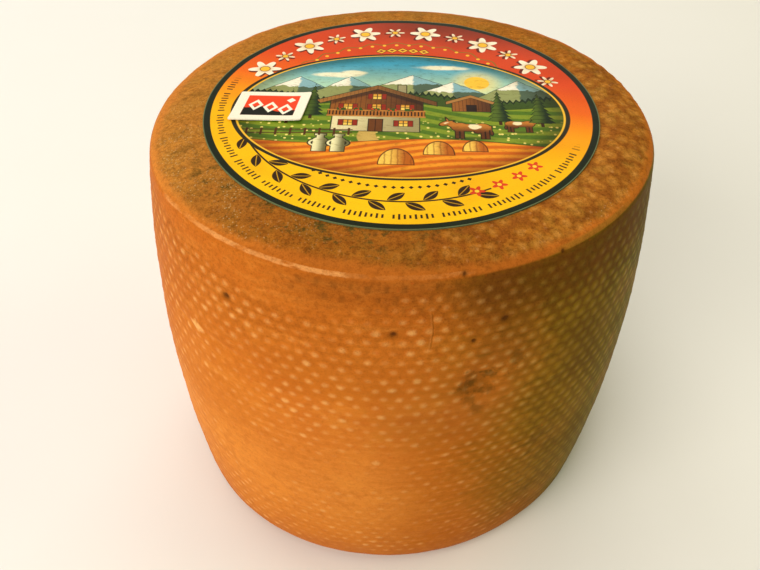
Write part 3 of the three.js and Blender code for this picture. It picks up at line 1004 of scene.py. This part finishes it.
for middle, size, heading in (((14.2, -8.0), 1.3, -1), ((24.0, -6.3), 0.95, 1)):
    cow_place = ((side - middle[0]) * (heading / size), (upright - middle[1]) / size)
    cow = joined(
        *(oval(at, reach, turn, cow_place) for at, reach, turn in COW_OVALS),
        *(block(at, reach, 0, cow_place) for at, reach in COW_BLOCKS),
    )
    belly = cow_place[1].ease(1.0, -1.3)
    hide = belly.blend(ink(198, 122, 42), ink(96, 50, 14))
    flank_patch = oval((-0.5, 0.5), (1.0, 0.75), 0, cow_place)
    blaze = joined(flank_patch, oval((3.9, 1.35), (0.5, 0.2), -0.5, cow_place))
    hide = hide.coat(ink(248, 230, 180), (blaze + ripple * 0.3).ease(0.1, -0.1))
    cow_shadow = oval((0.2, -2.9), (3.4, 0.45), 0, cow_place).ease(0.3, -0.3)
    picture = picture.coat(ink(34, 60, 14), cow_shadow * 0.7)
    picture = printed(picture, cow, hide, 0.16, ink(34, 18, 6))
FIRS = [(20.2, 5.4, 0.24), (28.6, 5.0, 0.27), (-18.4, 6.4, 0.25), (-23.0, 4.4, 0.28)]
for fir_side, fir_top, spread in FIRS:  # its place, its tip and how far it spreads
    down = fir_top - upright
    tier = down.fraction(1.5)
    fir = abs(side - fir_side + ripple * 0.25) - down * spread * 0.62 - tier * (down * 0.06 + 0.35)
    fir = both(fir, down - 10.5)
    trunk = block((fir_side, fir_top - 11.0), (0.35, 1.0))
    needles = (side - fir_side + jag * 0.8).ease(-1.0, 1.2)
    bough = needles.blend(ink(84, 106, 30), ink(24, 46, 18)).coat(ink(18, 32, 12), tier.ease(0.25, 0.0) * 0.7)
    picture = picture.coat(ink(64, 36, 12), fill(trunk))
    picture = printed(picture, fir, bough, 0.15, ink(14, 24, 10))
for cock_side, cock_foot, size in ((7.6, -17.6, 1.0), (14.6, -16.2, 0.8), (-0.6, -21.2, 1.15)):
    cock = both(oval((cock_side, cock_foot), (2.9 * size, 4.4 * size)), cock_foot - upright)
    lit = (side - cock_side + ripple * 0.6).ease(-1.8 * size, 1.8 * size)
    hay = lit.blend(ink(255, 206, 88), ink(186, 96, 18))
    hay = hay.coat(ink(140, 70, 12), ((side - cock_side) * 5 + jag * 2).wave(1.0).ease(0.5, 0.9) * 0.5)
    picture = printed(picture, cock, hay, 0.2, ink(74, 36, 6))
for churn_side in (-15.6, -12.0):
    churn = joined(
        block((churn_side, -15.4), (1.3, 1.9)),
        oval((churn_side, -13.5), (1.38, 1.0)),
        block((churn_side, -12.4), (0.7, 0.9)),
        block((churn_side, -11.5), (1.1, 0.25)),
        abs(oval((churn_side, -14.4), (1.95, 1.2))) - 0.14,
    )
    gleam = (side - churn_side).ease(-1.1, 1.1)
    metal = gleam.blend(ink(246, 236, 180), ink(112, 106, 66))
    picture = printed(picture, churn, metal)
rail = joined(abs(upright - side * 0.03 + 10.4) - 0.16, abs(upright - side * 0.03 + 9.2) - 0.16)
post = abs(side.fraction(2.9) - 0.5) * 2.9 - 0.24
post = both(post, abs(upright - side * 0.03 + 9.9) - 1.3)
fence = fill(joined(rail, post)) * between(side, -33, -9.4)
picture = picture.coat(ink(82, 46, 14), fence)

brushed = print_place.cloud(0.9, detail=3, rough=0.65, seed=43, stretch=(2, 1, 1))
picture = picture.tint(ink(176, 160, 130), brushed.ease(0.5, 0.75) * 0.55)
frame_edge = oval(PICTURE_MIDDLE, PICTURE_REACH)
picture = picture.tint(ink(170, 150, 120), frame_edge.ease(-4, 0) * 0.8)
colour = (
    colour.coat(PRINT_DARK, fill(frame_edge, 0.95))
    .coat(PRINT_GOLD, fill(frame_edge, 0.3))
    .coat(picture, fill(frame_edge))
    .coat(ink(26, 34, 16), out.ease(38.95, 39.1))
    .coat(ink(104, 116, 80), out.ease(40.25, 40.38))
)
paper_fibre = print_place.cloud(0.35, detail=3, rough=0.6, seed=51)
colour = colour.tint(ink(206, 196, 180), paper_fibre.ease(0.5, 0.75) * 0.35)
colour = colour.tint(ink(222, 210, 186), print_place.cloud(14, detail=3, seed=52).ease(0.45, 0.75) * 0.5)
waviness = print_place.cloud(6, detail=2, seed=53)
roughness = 0.40 + print_place.cloud(5, detail=3, seed=54) * 0.16
finish_with(label_shader, colour, roughness, paper_fibre * 0.006 + waviness * 0.09)
label.data.materials.append(paper_print)
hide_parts("round_label")
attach(label, "root")


# Card sticker: thin white card cut by hand a little out of square, printed with a red field over a
# dark hill, and stuck on the label. Its right and lower edges have come up a little.
card_low, card_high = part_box("card_sticker")
CARD_MIDDLE = (card_low + card_high) / 2 / MM
CARD_TALL = (card_high.y - card_low.y) / MM
CARD_SKEW = 0.107 * CARD_TALL  # how far the top edge is shifted to the right against the lower edge
CARD_WIDE = (card_high.x - card_low.x) / MM - CARD_SKEW
CARD_THICK = (card_high.z - card_low.z) / MM
CARD_CUTS = 17
CARD_CORNER = 0.35

bpy.ops.object.select_all(action="DESELECT")
card_face = Vector((CARD_MIDDLE.x, CARD_MIDDLE.y, card_high.z / MM)) * MM
bpy.ops.mesh.primitive_plane_add(size=1, location=card_face)
card = bpy.context.object
card.name = "card"
bpy.ops.object.mode_set(mode="EDIT")
bpy.ops.transform.resize(value=(CARD_WIDE * MM, CARD_TALL * MM, 1))
bpy.ops.mesh.subdivide(number_cuts=CARD_CUTS)
bpy.ops.mesh.select_all(action="DESELECT")
bpy.ops.object.mode_set(mode="OBJECT")
half = Vector((CARD_WIDE, CARD_TALL, 0)) * MM / 2
for corner in card.data.vertices:
    corner.select = abs(corner.co.x) > half.x * 0.999 and abs(corner.co.y) > half.y * 0.999
bpy.ops.object.mode_set(mode="EDIT")
bpy.ops.mesh.bevel(offset=CARD_CORNER * MM, segments=3, affect="VERTICES")
bpy.ops.object.mode_set(mode="OBJECT")
bpy.ops.object.transform_apply(location=True, rotation=False, scale=False)

points = read_points(card.data) / MM
to_right = (points[:, 0] - CARD_MIDDLE.x) / CARD_WIDE * 2
to_back = (points[:, 1] - CARD_MIDDLE.y) / CARD_TALL * 2
points[:, 0] += CARD_SKEW / 2 * to_back
points[:, 2] += 0.26 * np.clip(to_right, 0, 1) ** 3 + 0.2 * np.clip(-to_back, 0, 1) ** 3 + 0.04
move_points(card.data, points)
thickness = card.modifiers.new("thickness", "SOLIDIFY")
thickness.thickness = CARD_THICK * MM
thickness.offset = -1
bpy.ops.object.modifier_apply(modifier=thickness.name)
bpy.ops.object.shade_smooth_by_angle(angle=math.radians(40))

card_print, card_shader, place = new_finish("card_print", LABEL_SHEEN)
print_place = place.moved((1, 1, 0), (-CARD_MIDDLE.x, -CARD_MIDDLE.y, 0))
upright = print_place.part("Y")
side = print_place.part("X") - upright * (CARD_SKEW / CARD_TALL)
CARD_WHITE = ink(252, 244, 222)
card_fibre = print_place.cloud(0.3, detail=3, rough=0.6, seed=61)
colour = card_fibre.ease(0.45, 0.75).blend(CARD_WHITE, ink(240, 230, 204))
panel = both(abs(side) - 5.4, abs(upright - 0.15) - 3.95)
hill = upright + 1.2 + side * 0.2 + (side * 0.9).wave(0.6)
colour = colour.coat(ink(240, 70, 30), fill(panel)).coat(ink(26, 26, 18), fill(hill) * fill(panel))
for lozenge_side, lozenge_up in ((-3.1, 0.3), (0.1, -0.5), (3.3, -1.3)):
    lozenge = abs(side - lozenge_side) * 0.95 + abs(upright - lozenge_up) * 0.7 - 1.5
    colour = colour.coat(CARD_WHITE, fill(lozenge) * (1 - fill(lozenge, -0.72)))
lozenge = abs(side - 3.8) + abs(upright - 2.3) - 0.95
colour = colour.coat(CARD_WHITE, fill(lozenge))
finish_with(card_shader, colour, 0.42 + card_fibre * 0.14, card_fibre * 0.008)
card.data.materials.append(card_print)
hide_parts("card_sticker")
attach(card, "root")


# Table: a pale, matt board much wider than the view. The light is a window in front on the left, a
# fainter one low on the left, two behind, a ceiling light, and a warm wall on the right.
TABLE_WIDTH = 6.0

bpy.ops.object.select_all(action="DESELECT")
bpy.ops.mesh.primitive_plane_add(size=TABLE_WIDTH)
table = bpy.context.object
table.name = "table"
table_top, table_shader, place = new_finish("table_top", 0.1)
table_cloud = place.cloud(60, detail=2)
colour = table_cloud.blend(ink(242, 240, 236), ink(239, 237, 232))
finish_with(table_shader, colour, 0.6 + table_cloud * 0.04, table_cloud * 0.004)
table.data.materials.append(table_top)
table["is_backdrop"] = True

LIGHTS = [
    ("window_front_left", (-0.5, -0.6, 0.5), 0.6, 6.5, (1.0, 0.94, 0.86)),
    ("window_left", (-0.8, -0.1, 0.25), 0.6, 1.2, (1.0, 0.98, 0.95)),
    ("ceiling", (-0.1, 0.1, 1.2), 0.9, 4.4, (1.0, 0.97, 0.90)),
    ("window_back", (0.1, 0.9, 0.6), 0.6, 2.6, (1.0, 0.92, 0.84)),
    ("window_back_left", (-0.5, 0.6, 0.55), 0.6, 2.0, (1.0, 0.97, 0.92)),
    ("warm_wall", (0.8, 0.1, 0.5), 0.6, 2.2, (0.97, 0.92, 0.50)),
]  # name, place and width in metres, power in watts, colour
ROOM_COLOUR = (0.98, 1.0, 0.86, 1.0)
ROOM_STRENGTH = 0.13
AIM = Vector((0, 0, 0.05))

for name, light_place, width, power, tint in LIGHTS:
    turn = (AIM - Vector(light_place)).to_track_quat("-Z", "Y").to_euler()
    bpy.ops.object.light_add(type="AREA", location=light_place, rotation=turn)
    lamp = bpy.context.object
    lamp.name = name
    lamp.data.size = width
    lamp.data.energy = power
    lamp.data.color = tint

room = bpy.data.worlds.new("room")
room.use_nodes = True
backdrop = room.node_tree.nodes["Background"]
backdrop.inputs["Color"].default_value = ROOM_COLOUR
backdrop.inputs["Strength"].default_value = ROOM_STRENGTH
bpy.context.scene.world = room
bpy.context.scene.view_settings.view_transform = "Standard"

sizes = {"cad": cad_box, "visual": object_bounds()}
{name: [list(corner) for corner in box] for name, box in sizes.items()}
